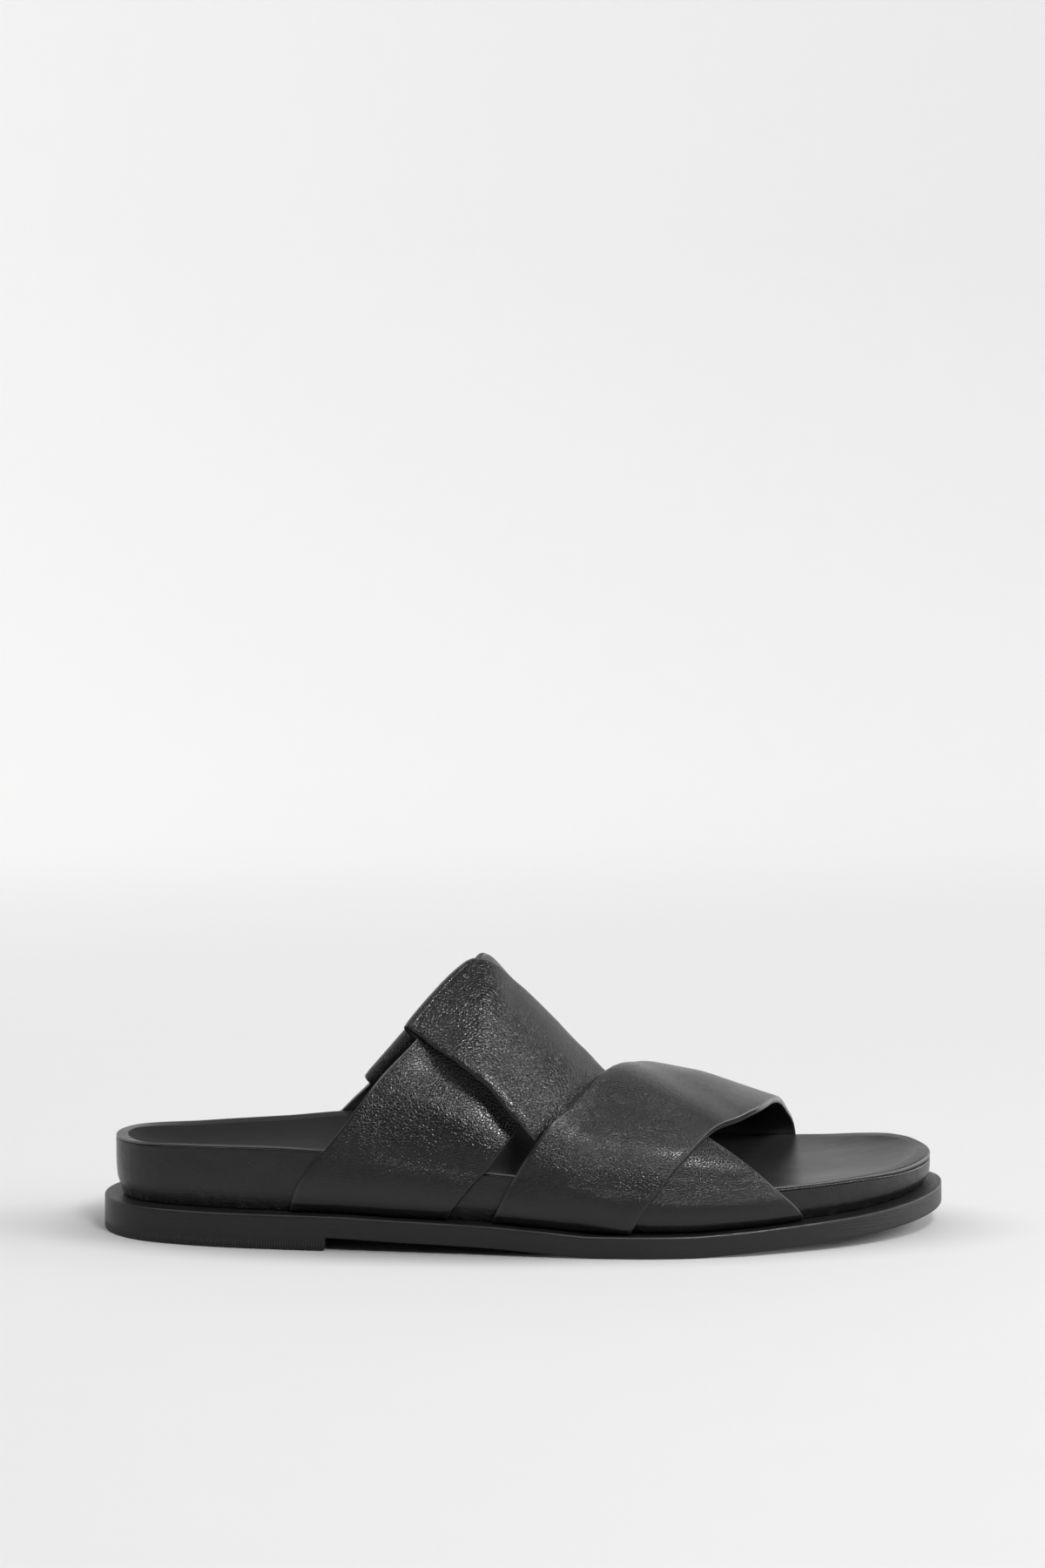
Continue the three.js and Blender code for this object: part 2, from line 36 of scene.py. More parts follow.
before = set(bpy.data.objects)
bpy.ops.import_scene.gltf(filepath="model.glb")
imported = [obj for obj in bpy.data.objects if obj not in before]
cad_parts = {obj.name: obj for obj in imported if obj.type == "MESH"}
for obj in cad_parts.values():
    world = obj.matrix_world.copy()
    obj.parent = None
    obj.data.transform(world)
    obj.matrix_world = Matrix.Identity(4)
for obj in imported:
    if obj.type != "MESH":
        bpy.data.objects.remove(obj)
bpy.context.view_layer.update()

# Sizes with the CAD source's values
SOLE_LENGTH = 256.0
BALL_WIDTH = 94.0
SOLE_THICKNESS = 6.5
HEEL_LENGTH = 69.5
HEEL_STEP = 3.8
HEEL_CORNER_BEVEL = 1.0
TOE_SPRING = 6.2
LEDGE_WIDTH = 3.6
HEEL_WALL_HEIGHT = 19.0
WALL_UNDERCUT = 1.6
HEEL_CUP_DEPTH = 5.5
INSTEP_HEIGHT = 54.0
OVERLAP_SLOPE = 13.0
FOLD_TUCK = 12.0
STRAP_EASE = 0.5
WALL_SHARE = 0.16
HOLLOW_POWER = 2.5
BEVEL_RISE = 0.8
BREAST_LEAN = 0.125
BALL_IN_GIRTH = 0.6
GIRTH = 2 * (INSTEP_HEIGHT + HEEL_WALL_HEIGHT) + BALL_IN_GIRTH * BALL_WIDTH

# Sizes of the leather as it is seen
TINY = 1e-3
TOP_OVERLAP_SLOPE = 20.0
STRAP_THICKNESS = 2.2
STRAP_STEP = 2.3
ROOT_GAP = 0.15
ROOT_CURL = 5.5
EDGE_RADIUS = 0.7
EDGE_ROUNDNESS = 5.0
EDGE_SLANT = 0.5
EDGE_GROOVE = 0.14
EDGE_FALL = 0.18
EDGE_FALL_WIDTH = 2.4

# Straps: how their sections, roots, grain and folds are drawn
GROOVE_WIDTH = 0.09
EDGE_COLUMNS = 10
ROOT_RISE_SHARE = 0.8
ROW_CROWDING = 0.85
GRAIN_START = 0.25
GRAIN_SPAN = 1.2
INSIDE_LEVEL = 0.3
FOLD_PROBE = 0.1

# The insole's cover, the midsole's wrap and the outsole's edge
HEEL_SEAM_DROP = 0.7
TOE_SEAM_DROP = 2.3
COVER_INSET = 0.1
COVER_TUCKS = ((3.0, 0.15), (0.6, 0.05))
COVER_TURNS = (0.8, 1.8, 3.2)
COVER_REACH = 40
COVER_SINK = 0.02
HEEL_ROLL = 0.35
TOE_ROLL_MORE = 0.55
WRAP_GAP = 0.05
WRAP_ROLL = 0.45
WRAP_SHARES = (0, 0.03, 0.07, 0.12, 0.18, 0.25, 0.33, 0.43, 0.55, 0.67, 0.79, 0.9, 0.97)
FOOT_TUCK = 0.8
WRAP_TURN_IN = 2.0
WRAP_TURN_DROP = 0.6
TUCK_SHARE = 0.36
TUCK_POWER = 1.6
PLEAT_SHARE = 0.2
PLEAT_SHIFT = 17
SEAM_FROM = 0.74
SEAM_TO = 0.97
SOLE_ROUND = 0.5
LEDGE_ROUND = 0.6
SOLE_LEAN = 0.1
SOLE_UNDER_INSETS = (1.6, 0.55)
LEDGE_INSET = 2.4


def table(names, *rows):
    """Rows of numbers as named columns."""
    return dict(zip(names.split(), np.array(rows, float).T))


OUTLINE = table(
    "station lateral medial",
    (0, 0, 0),
    (0.02, 0.17, 0.165),
    (0.06, 0.26, 0.25),
    (0.1, 0.303, 0.295),
    (0.15, 0.34, 0.33),
    (0.23, 0.376, 0.352),
    (0.33, 0.412, 0.345),
    (0.45, 0.453, 0.35),
    (0.55, 0.487, 0.395),
    (0.64, 0.5, 0.45),
    (0.73, 0.475, 0.485),
    (0.82, 0.408, 0.468),
    (0.88, 0.345, 0.425),
    (0.93, 0.265, 0.352),
    (0.97, 0.155, 0.265),
    (1, -0.085, 0.085),
)
UNDERSIDE = table(
    "station heel toe",
    (0, 1, 0),
    (0.27, 1, 0),
    (0.35, 0.82, 0),
    (0.45, 0.6, 0),
    (0.52, 0.3, 0),
    (0.58, 0, 0),
    (0.68, 0, 0),
    (0.75, 0, 0.13),
    (0.82, 0, 0.3),
    (0.88, 0, 0.47),
    (0.94, 0, 0.72),
    (1, 0, 1),
)
WALL = table(
    "station lateral medial dish",
    (0, 0.94, 0.94, 0),
    (0.03, 0.96, 0.92, 0.5),
    (0.1, 1.01, 0.88, 0.95),
    (0.2, 1.03, 0.91, 1),
    (0.3, 0.98, 1, 0.9),
    (0.45, 0.805, 0.955, 0.7),
    (0.58, 0.76, 0.86, 0.6),
    (0.7, 0.66, 0.7, 0.55),
    (0.8, 0.585, 0.57, 0.45),
    (0.88, 0.56, 0.57, 0.4),
    (0.92, 0.527, 0.588, 0.355),
    (0.95, 0.5, 0.597, 0.3),
    (0.975, 0.493, 0.572, 0.18),
    (1, 0.49, 0.49, 0),
)
WALL_PROFILE = table("height set_back", (0, 1), (0.14, 0.62), (0.38, 0.15), (0.7, 0), (1, 0))
RIDGE = table(
    "station height inward roundness",
    (0.16, 0.66, 0.02, 1.8),
    (0.3, 0.875, 0.03, 1.75),
    (0.4, 0.985, 0.045, 1.7),
    (0.445, 1.02, 0.05, 1.7),
    (0.48, 0.885, 0.055, 1.72),
    (0.52, 0.715, 0.06, 1.76),
    (0.56, 0.565, 0.062, 1.82),
    (0.6, 0.49, 0.065, 1.9),
    (0.64, 0.475, 0.07, 1.95),
    (0.7, 0.44, 0.075, 2),
    (0.76, 0.358, 0.08, 2.05),
    (0.82, 0.262, 0.08, 2.1),
    (0.92, 0.15, 0.08, 2.2),
)
INSTEP_STRAP = table(
    "back back_around front front_around",
    (0.231, 0, 0.41, 0),
    (0.24, 0.06, 0.424, 0.06),
    (0.27, 0.155, 0.453, 0.155),
    (0.3, 0.21, 0.48, 0.21),
    (0.335, 0.268, 0.505, 0.268),
    (0.378, 0.322, 0.528, 0.322),
    (0.416, 0.38, 0.545, 0.38),
    (0.447, 0.44, 0.556, 0.44),
    (0.45, 0.5, 0.56, 0.5),
    (0.441, 0.56, 0.556, 0.56),
    (0.424, 0.62, 0.547, 0.62),
    (0.388, 0.69, 0.527, 0.69),
    (0.344, 0.75, 0.499, 0.75),
    (0.307, 0.795, 0.472, 0.795),
    (0.27, 0.85, 0.45, 0.85),
    (0.245, 0.94, 0.425, 0.94),
    (0.235, 1, 0.415, 1),
)
FOREFOOT_STRAP = table(
    "back back_around front front_around",
    (0.463, 0, 0.617, 0),
    (0.476, 0.08, 0.632, 0.085),
    (0.491, 0.16, 0.655, 0.175),
    (0.515, 0.218, 0.68, 0.23),
    (0.55, 0.295, 0.71, 0.29),
    (0.578, 0.37, 0.745, 0.355),
    (0.612, 0.445, 0.778, 0.435),
    (0.638, 0.51, 0.8, 0.53),
    (0.66, 0.6, 0.813, 0.62),
    (0.675, 0.7, 0.824, 0.71),
    (0.685, 0.79, 0.834, 0.79),
    (0.69, 0.86, 0.837, 0.86),
    (0.693, 1, 0.838, 1),
)
LATERAL_STRAP = table(
    "back back_around front front_around",
    (0.636, 0, 0.82, 0),
    (0.612, 0.08, 0.805, 0.08),
    (0.582, 0.15, 0.78, 0.165),
    (0.55, 0.188, 0.745, 0.235),
    (0.515, 0.22, 0.7, 0.295),
    (0.48, 0.247, 0.64, 0.368),
    (0.44, 0.277, 0.58, 0.43),
    (0.402, 0.304, 0.505, 0.458),
    (0.371, 0.331, 0.443, 0.44),
)
MEDIAL_STRAP = table(
    "back back_around front front_around",
    (0.53, 1, 0.675, 1),
    (0.518, 0.92, 0.668, 0.92),
    (0.498, 0.85, 0.65, 0.84),
    (0.455, 0.81, 0.602, 0.775),
    (0.4, 0.798, 0.54, 0.72),
    (0.35, 0.795, 0.475, 0.678),
    (0.313, 0.788, 0.41, 0.648),
)

# How far the insole's cover comes down over the rim, as a share of the way from heel to toe drop
COVER_EDGE = table("station share", (0, 0), (0.8, 0), (0.9, 0.12), (0.96, 0.55), (1, 1))


def curve(rows, key, column, measure=lambda value: value):
    """A smooth curve through one column of a table, which never swings past its rows."""
    at = measure(rows[key])
    value = rows[column]
    slope = np.diff(value) / np.diff(at)
    before = np.concatenate([slope[:1], slope])
    after = np.concatenate([slope, slope[-1:]])
    agrees = before * after > 0
    tangent = np.where(agrees, 2 * before * after / np.where(agrees, before + after, 1), 0)

    def sample(where):
        x = measure(np.asarray(where, float))
        i = np.clip(np.searchsorted(at, x) - 1, 0, len(at) - 2)
        step = at[i + 1] - at[i]
        t = (x - at[i]) / step
        rise = t * t * (3 - 2 * t)
        leave = t * (1 - t) ** 2 * step * tangent[i]
        arrive = t * t * (t - 1) * step * tangent[i + 1]
        return value[i] + (value[i + 1] - value[i]) * rise + leave + arrive

    return sample


def mix(a, b, share):
    return a + (b - a) * share


def smooth(value):
    """0 up to 0, 1 from 1 on, and a soft step between."""
    t = np.clip(value, 0, 1)
    return t * t * (3 - 2 * t)


def round_ends(station):
    """The angle of a half circle, against which widths are drawn so that both ends are round."""
    return np.arccos(1 - 2 * np.clip(station, 0, 1))


lateral_share = curve(OUTLINE, "station", "lateral", round_ends)
medial_share = curve(OUTLINE, "station", "medial", round_ends)
heel_share = curve(UNDERSIDE, "station", "heel")
toe_share = curve(UNDERSIDE, "station", "toe")
lateral_wall = curve(WALL, "station", "lateral")
medial_wall = curve(WALL, "station", "medial")
dish_share = curve(WALL, "station", "dish")
set_back = curve(WALL_PROFILE, "height", "set_back")
ridge_share = curve(RIDGE, "station", "height")
ridge_inward = curve(RIDGE, "station", "inward")
roundness = curve(RIDGE, "station", "roundness")
cover_edge = curve(COVER_EDGE, "station", "share")


def along_x(station):
    return (station - 0.5) * SOLE_LENGTH


def edge_y(station, side):
    """The outline's edge on the outer side (-1) or the inner side (1)."""
    return np.where(side < 0, -lateral_share(station), medial_share(station)) * BALL_WIDTH


def waist_underside(station):
    return heel_share(station) * HEEL_STEP + toe_share(station) * TOE_SPRING


def ledge_height(station):
    return waist_underside(station) + SOLE_THICKNESS


def rim_height(station, side):
    wall = mix(lateral_wall(station), medial_wall(station), (side + 1) / 2)
    return ledge_height(station) + HEEL_WALL_HEIGHT * wall


def footbed_height(station, across):
    """Height of the footbed at a place across it, from the outer rim (-1) to the inner (1)."""
    hollow = 1 - np.abs(across) ** HOLLOW_POWER
    return rim_height(station, across) - HEEL_CUP_DEPTH * dish_share(station) * hollow


def last_point(station, around):
    """A point on the last: up the midsole's wall, over the foot and down again."""
    station, around = np.broadcast_arrays(np.asarray(station, float), np.asarray(around, float))
    side = np.where(around < 0.5, -1.0, 1.0)
    from_edge = np.clip(np.minimum(around, 1 - around), 0, None)
    foot = ledge_height(station) + ROOT_GAP
    rim = rim_height(station, side)
    height = np.clip(from_edge / WALL_SHARE, 0, 1)
    inset = LEDGE_WIDTH - STRAP_EASE + WALL_UNDERCUT * set_back(height)
    wall_y = edge_y(station, side) - side * inset
    angle = np.clip(math.pi * (around - WALL_SHARE) / (1 - 2 * WALL_SHARE), 0, math.pi)
    power = 2 / roundness(station)
    ridge_y = ridge_inward(station) * BALL_WIDTH
    ridge = mix(rim_height(station, -1), rim_height(station, 1), 0.5) + INSTEP_HEIGHT * ridge_share(station)
    rim_y = edge_y(station, side) - side * (LEDGE_WIDTH - STRAP_EASE)
    over_y = mix(ridge_y, rim_y, np.abs(np.cos(angle)) ** power)
    over_z = mix(rim, ridge, np.clip(np.sin(angle), 0, 1) ** power)
    on_wall = from_edge < WALL_SHARE
    y = np.where(on_wall, wall_y, over_y)
    z = np.where(on_wall, mix(foot, rim, height), over_z)
    return np.stack([along_x(station), y, z], -1)


def unit(vectors):
    return vectors / np.linalg.norm(vectors, axis=-1, keepdims=True)


def last_normal(station, around):
    """The way out of the last, level at the foot of the wall."""
    station, around = np.broadcast_arrays(np.asarray(station, float), np.asarray(around, float))
    along = last_point(station + TINY, around) - last_point(station - TINY, around)
    low, high = np.clip(around - TINY, 0, 1), np.clip(around + TINY, 0, 1)
    over = last_point(station, high) - last_point(station, low)
    normal = unit(np.cross(along, over))
    normal[..., 2] *= np.clip(np.minimum(around, 1 - around) / WALL_SHARE, 0, 1)
    return unit(normal)


def laid_flat(station, around):
    """Places on the last as millimetres on a flat sheet."""
    station, around = np.broadcast_arrays(station, around)
    return np.stack([station * SOLE_LENGTH, around * GIRTH], -1)


def strap_path(rows):
    """A strap's places (station, around) from the share along it and the share across it."""
    numbered = dict(rows, along=np.linspace(0, 1, len(rows["back"])))
    back, back_around, front, front_around = (
        curve(numbered, "along", name) for name in ("back", "back_around", "front", "front_around")
    )

    def path(along, across):
        return mix(back(along), front(along), across), mix(back_around(along), front_around(along), across)

    return path


def cover_of(path, slope=OVERLAP_SLOPE):
    """How far a strap lifts another that passes over it: 1 over it, easing to 0 beside it."""
    along = np.linspace(0, 1, 61)
    rim = np.concatenate([laid_flat(*path(along, 0.0)), laid_flat(*path(along[::-1], 1.0))])

    def cover(station, around):
        point = laid_flat(station, around)
        nearest = np.full(point.shape[:-1], np.inf)
        inside = np.zeros(point.shape[:-1], bool)
        for a, b in zip(rim, np.roll(rim, -1, axis=0)):
            line = b - a
            share = np.clip((point - a) @ line / max(line @ line, TINY), 0, 1)
            nearest = np.minimum(nearest, np.linalg.norm(point - a - share[..., None] * line, axis=-1))
            if a[1] != b[1]:
                meet = line[0] * (point[..., 1] - a[1]) / line[1] + a[0]
                inside ^= ((a[1] > point[..., 1]) != (b[1] > point[..., 1])) & (point[..., 0] < meet)
        return np.where(inside, 1, smooth(1 - nearest / slope))

    return cover


instep_path = strap_path(INSTEP_STRAP)
forefoot_path = strap_path(FOREFOOT_STRAP)
lateral_path = strap_path(LATERAL_STRAP)
medial_path = strap_path(MEDIAL_STRAP)
over_instep = cover_of(instep_path)
over_lateral = cover_of(lateral_path, TOP_OVERLAP_SLOPE)
over_medial = cover_of(medial_path, TOP_OVERLAP_SLOPE)


def lift_none(station, around):
    return np.zeros(np.shape(station))


def lift_over_instep(station, around):
    return STRAP_STEP * over_instep(station, around)


def lift_over_sides(station, around):
    under = np.maximum(over_lateral(station, around), over_medial(station, around))
    return STRAP_STEP * under * (1 + over_instep(station, around))


# Soft ridges (+) and troughs (-) of each strap, from one place on the last to another
CREASE_COLUMNS = "station around end_station end_around height width"
INSTEP_CREASES = table(
    CREASE_COLUMNS,
    (0.24, 0.168, 0.47, 0.168, -0.15, 3.0),
    (0.26, 0.235, 0.46, 0.235, 0.35, 6.5),
    (0.375, 0.3, 0.515, 0.22, -1.8, 5.0),
    (0.34, 0.275, 0.47, 0.19, 0.45, 5.0),
    (0.5, 0.485, 0.59, 0.5, -1.6, 7.0),
    (0.24, 0.835, 0.47, 0.835, -0.35, 3.0),
)
LATERAL_CREASES = table(
    CREASE_COLUMNS,
    (0.4, 0.302, 0.52, 0.222, 2.8, 6.0),
    (0.44, 0.4, 0.5, 0.33, 0.35, 5.0),
    (0.66, 0.168, 0.79, 0.168, -0.15, 3.0),
)
MEDIAL_CREASES = table(CREASE_COLUMNS, (0.48, 0.835, 0.64, 0.835, -0.35, 3.0))
FOREFOOT_CREASES = table(
    CREASE_COLUMNS,
    (0.48, 0.168, 0.68, 0.168, -0.15, 3.0),
    (0.5, 0.25, 0.68, 0.24, 0.35, 6.5),
    (0.62, 0.42, 0.74, 0.52, 0.25, 8.0),
    (0.5, 0.18, 0.6, 0.42, 0.2, 4.0),
    (0.665, 0.2, 0.73, 0.32, 0.12, 5.0),
    (0.7, 0.835, 0.83, 0.835, -0.3, 3.0),
)


def crease_height(rows, station, around):
    """How far the leather stands off its smooth form at a place on the last."""
    point = laid_flat(station, around)
    total = np.zeros(point.shape[:-1])
    columns = (rows[column] for column in CREASE_COLUMNS.split())
    for a_station, a_around, b_station, b_around, height, width in zip(*columns):
        a, b = laid_flat(a_station, a_around), laid_flat(b_station, b_around)
        line = b - a
        share = (point - a) @ line / (line @ line)
        off = np.linalg.norm(point - a - np.clip(share, 0, 1)[..., None] * line, axis=-1)
        fade = smooth(share / 0.3 + 0.35) * smooth((1 - share) / 0.3 + 0.35)
        total += height * np.exp(-((off / width) ** 2)) * fade
    return total


# Where the shoe's frame stands in the part's: the outsole's box against its own outline
outline_stations = (1 - np.cos(np.linspace(0, math.pi, 721))) / 2
design_middle = (edge_y(outline_stations, -1).min() + edge_y(outline_stations, 1).max()) / 2
outsole_low, outsole_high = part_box("outsole")
SHIFT_Y = (outsole_low.y + outsole_high.y) * 500 - design_middle
SHIFT_X = (outsole_low.x + outsole_high.x) * 500


def to_part(points):
    """Shoe millimetres to the part's metres."""
    return (points + np.array([SHIFT_X, SHIFT_Y, 0])) / 1000


def make_piece(name, points, faces, face_uvs, marks, material, nodes):
    """A mesh piece that stands for CAD nodes: faces with their UVs, and marks on its points."""
    mesh = bpy.data.meshes.new(name)
    mesh.from_pydata(to_part(points).tolist(), [], faces)
    layer = mesh.uv_layers.new(name="millimetres")
    layer.data.foreach_set("uv", np.concatenate(face_uvs).astype(np.float32).ravel())
    for mark, values in marks.items():
        attribute = mesh.attributes.new(mark, "FLOAT", "POINT")
        attribute.data.foreach_set("value", np.asarray(values, np.float32).ravel())
    mesh.validate()
    mesh.shade_smooth()
    mesh.materials.append(material)
    piece = bpy.data.objects.new(name, mesh)
    bpy.context.scene.collection.objects.link(piece)
    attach(piece, "root")
    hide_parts(*nodes)
    return piece


def strap_section(columns, edge_columns):
    """Columns round a strap's section: share of its face, share of its edge's radius, height."""
    face = np.linspace(0, 1, columns + 1)
    turn = np.linspace(math.pi / 2, -math.pi / 2, edge_columns + 1)[1:-1]
    power = 2 / EDGE_ROUNDNESS
    height = 0.5 + 0.5 * np.sign(np.sin(turn)) * np.abs(np.sin(turn)) ** power
    groove = EDGE_GROOVE / EDGE_RADIUS * np.exp(-(((height - 0.5) / GROOVE_WIDTH) ** 2))
    out = np.cos(turn) ** power - groove + EDGE_SLANT / EDGE_RADIUS * (1 - height)
    ones, zeros = np.ones_like(face), np.zeros_like(face)
    share = np.concatenate([face, np.ones_like(turn), face[::-1], np.zeros_like(turn)])
    reach = np.concatenate([zeros, out, zeros, -out])
    level = np.concatenate([ones, height, zeros, height[::-1]])
    return share, reach, level


def make_strap(name, path, lift, creases, rows=170, columns=34, corner=0.7, fold=False, turn=0.0):
    """A strap of real thickness along its path, with rounded edges and roots that curl in."""
    share, reach, level = strap_section(columns, EDGE_COLUMNS)
    t = np.linspace(0, 1, rows + 1)
    along = mix(t, (1 - np.cos(math.pi * t)) / 2, ROW_CROWDING)[:, None]
    samples = last_point(*path(along, np.linspace(0, 1, 13)))
    width = np.linalg.norm(np.diff(samples, axis=1), axis=-1).sum(1)[:, None]
    middle_around = path(along, 0.5)[1]
    wall_share = np.minimum(middle_around, 1 - middle_around) / WALL_SHARE
    over_ledge = wall_share * HEEL_WALL_HEIGHT * ROOT_RISE_SHARE
    pull = corner * (1 - np.sqrt(1 - (1 - np.clip(over_ledge / corner, 0, 1)) ** 2))
    curl = np.sqrt(1 - (1 - np.clip(over_ledge / ROOT_CURL, 0, 1)) ** 2)
    offset = pull + EDGE_RADIUS + share * (width - 2 * pull - 2 * EDGE_RADIUS) + reach * EDGE_RADIUS
    station, around = path(along, offset / width)
    from_edge = np.minimum(offset, width - offset)
    fall = EDGE_FALL * (1 - smooth(from_edge / EDGE_FALL_WIDTH)) * level * curl
    normal = last_normal(station, around)
    rise = lift(station, around) + crease_height(creases, station, around)
    rise = rise + STRAP_THICKNESS * curl * level - fall
    points = last_point(station, around) + normal * rise[..., None]
    flat = laid_flat(station, around)
    rim = np.where(around < 0.5, around, 1 - around)
    grain = smooth((rim / WALL_SHARE - GRAIN_START) / GRAIN_SPAN)
    inside = np.broadcast_to(level < INSIDE_LEVEL, station.shape).astype(float)
    # The edge mark grows round the cut edge's rounding; the leather uses it to smooth the grain and to paint
    # a highlight along the edges.
    edge = np.broadcast_to(np.abs(reach), station.shape)
    if fold:
        extra = fold_rows(path, offset[-1] / width[-1], level, fall[-1])
        points = np.concatenate([points[:-1], extra["points"]])
        flat = np.concatenate([flat[:-1], extra["flat"]])
        added = len(extra["points"]) - 1
        grain = np.concatenate([grain, np.repeat(grain[-1:], added, 0)])
        inside = np.concatenate([inside, np.repeat(inside[-1:], added, 0)])
        edge = np.concatenate([edge, np.repeat(edge[-1:], added, 0)])
    count, ring = points.shape[:2]
    cos, sin = math.cos(turn), math.sin(turn)
    uv = flat @ np.array([[cos, -sin], [sin, cos]])
    i, k = np.meshgrid(np.arange(count - 1), np.arange(ring), indexing="ij")
    i, k = i.ravel(), k.ravel()
    after = (k + 1) % ring
    corners = np.stack([i * ring + k, i * ring + after, (i + 1) * ring + after, (i + 1) * ring + k], 1)
    side_a = points[2, columns // 2] - points[0, columns // 2]
    side_b = points[0, columns] - points[0, 0]
    outward = normal[1, columns // 2]
    if np.dot(np.cross(side_b, side_a), outward) < 0:
        corners = corners[:, ::-1]
    marks = {"grain": grain, "inside": inside, "edge": edge}
    uvs = [uv.reshape(-1, 2)[corners.ravel()]]
    points = points.reshape(-1, 3)
    return make_piece(name, points, corners.tolist(), uvs, marks, strap_leather, ["upper"])


def fold_rows(path, across, level, fall):
    """Rows that turn a strap's end round the edge of the strap under it and tuck it inside."""
    station, around = path(1.0, across)
    point = last_point(station, around)
    normal = last_normal(station, around)
    start, end = last_point(*path(1.0, 0.0)), last_point(*path(1.0, 1.0))
    away = unit(np.cross(np.broadcast_to(end - start, normal.shape), normal))
    away = np.where(away[..., :1] > 0, -away, away)
    inner = STRAP_STEP - STRAP_THICKNESS / 2
    reach = STRAP_THICKNESS * level - fall
    flat = laid_flat(station, around)
    probe = laid_flat(*path(1 - FOLD_PROBE, 0.5)) - laid_flat(*path(1.0, 0.5))
    ahead = -probe / np.linalg.norm(probe)
    points, flats = [], []
    for turn in np.linspace(0, math.pi, 15):
        spoke = normal * math.cos(turn) + away * math.sin(turn)
        points.append(point + normal * STRAP_THICKNESS / 2 + spoke * (inner + reach)[:, None])
        flats.append(flat + ahead * (inner + STRAP_THICKNESS) * turn)
    turned = (inner + STRAP_THICKNESS) * math.pi
    for share in np.linspace(0, 1, 9)[1:]:
        tuck = FOLD_TUCK * share
        skived = math.sqrt(1 - share**2)
        tucked = path(1 - FOLD_PROBE * tuck / np.linalg.norm(probe), across)
        below = STRAP_THICKNESS - STRAP_STEP - reach * skived
        points.append(last_point(*tucked) + last_normal(*tucked) * below[:, None])
        flats.append(flat + ahead * (turned + tuck))
    return {"points": np.array(points), "flat": np.array(flats)}


def outline_loop(stations, inset):
    """The outline from heel to toe on the outer side and back on the inner, set in square to its edge."""
    station = np.concatenate([stations, stations[-2:0:-1]])
    side = np.concatenate([-np.ones(len(stations)), np.ones(len(stations) - 2)])
    places = np.stack([along_x(station), edge_y(station, side)], 1)
    edge = unit(np.roll(places, -1, axis=0) - np.roll(places, 1, axis=0))
    inward = np.stack([-edge[:, 1], edge[:, 0]], 1)
    return places + inward * np.asarray(inset).reshape(-1, 1)


def make_shell(name, levels, stations, columns, material, nodes, marks):
    """A closed piece from loops round the outline, with a skin across the lowest and the highest."""
    station = np.concatenate([stations, stations[-2:0:-1]])
    side = np.concatenate([-np.ones(len(stations)), np.ones(len(stations) - 2)])
    ring = len(station)
    last = len(stations) - 1
    plan = outline_loop(stations, 0)
    run = np.concatenate([[0], np.cumsum(np.linalg.norm(np.diff(plan, axis=0, append=plan[:1]), axis=1))])
    points, faces, uvs = [], [], []
    for inset, height in levels:
        places = outline_loop(stations, inset(station, side))
        points.append(np.column_stack([places, np.broadcast_to(height(station, side), ring)]))
    points = np.array(points)
    marked = {key: np.array([np.broadcast_to(mark(n, station, side), ring) for n in range(len(levels))])
              for key, mark in marks.items()}
    along = np.arange(ring)
    after = (along + 1) % ring
    for low in range(len(levels) - 1):
        lower, upper = low * ring, (low + 1) * ring
        corners = np.stack([lower + along, lower + after, upper + after, upper + along], 1)
        faces.extend(corners.tolist())
        heights = points[low : low + 2, :, 2]
        u = np.stack([run[along], run[along + 1], run[along + 1], run[along]], 1)
        v = np.stack([heights[0], heights[0][after], heights[1][after], heights[1]], 1)
        uvs.append(np.stack([u, v], -1).reshape(-1, 2))
    flat_points = [points.reshape(-1, 3)]
    flat_marks = {key: [value.ravel()] for key, value in marked.items()}
    total = len(levels) * ring
    for level, faces_up in ((0, False), (len(levels) - 1, True)):
        j = np.arange(1, last)[:, None]
        share = skin_shares(columns)[None, :]
        outer, inner = points[level][j], points[level][ring - j]
        place = mix(outer[..., :2], inner[..., :2], share[..., None])
        height = levels[level][1](stations[j], 2 * share - 1)
        inside = np.concatenate([place, np.broadcast_to(height, place.shape[:-1])[..., None]], -1)
        start = total
        total += inside.shape[0] * inside.shape[1]
        flat_points.append(inside.reshape(-1, 3))
        for key, mark in marks.items():
            value = np.broadcast_to(mark(level, stations[j], 2 * share - 1), inside.shape[:2])
            flat_marks[key].append(value.ravel())
        index = np.empty((last + 1, columns + 1), int)
        rows = np.arange(last + 1)
        index[:, 0] = level * ring + rows
        index[:, -1] = level * ring + (ring - rows) % ring
        index[0, :] = level * ring
        index[last, :] = level * ring + last
        index[1:last, 1:-1] = start + np.arange(inside.shape[0] * inside.shape[1]).reshape(inside.shape[:2])
        quads = np.stack([index[:-1, :-1], index[1:, :-1], index[1:, 1:], index[:-1, 1:]], -1).reshape(-1, 4)
        everything = np.concatenate(flat_points)
        for quad in quads:
            face = list(dict.fromkeys(quad.tolist()))
            if len(face) < 3:
                continue
            if not faces_up:
                face.reverse()
            faces.append(face)
            uvs.append(everything[face, :2])
    marks_out = {key: np.concatenate(value) for key, value in flat_marks.items()}
    return make_piece(name, np.concatenate(flat_points), faces, uvs, marks_out, material, nodes)


def skin_shares(columns):
    """Shares across a skin, closer together near its two edges."""
    even = np.arange(1, columns) / columns
    return mix(even, (1 - np.cos(math.pi * even)) / 2, 0.6)


def noise_row(seed, run, lengths, sizes):
    """A gentle irregular line: sines of several lengths with seeded phases."""
    phases = np.random.default_rng(seed).uniform(0, 2 * math.pi, len(lengths))
    waves = zip(lengths, sizes, phases)
    return sum(size * np.sin(2 * math.pi * run / length + phase) for length, size, phase in waves)


# Materials


SURFACE_IOR = 1.45


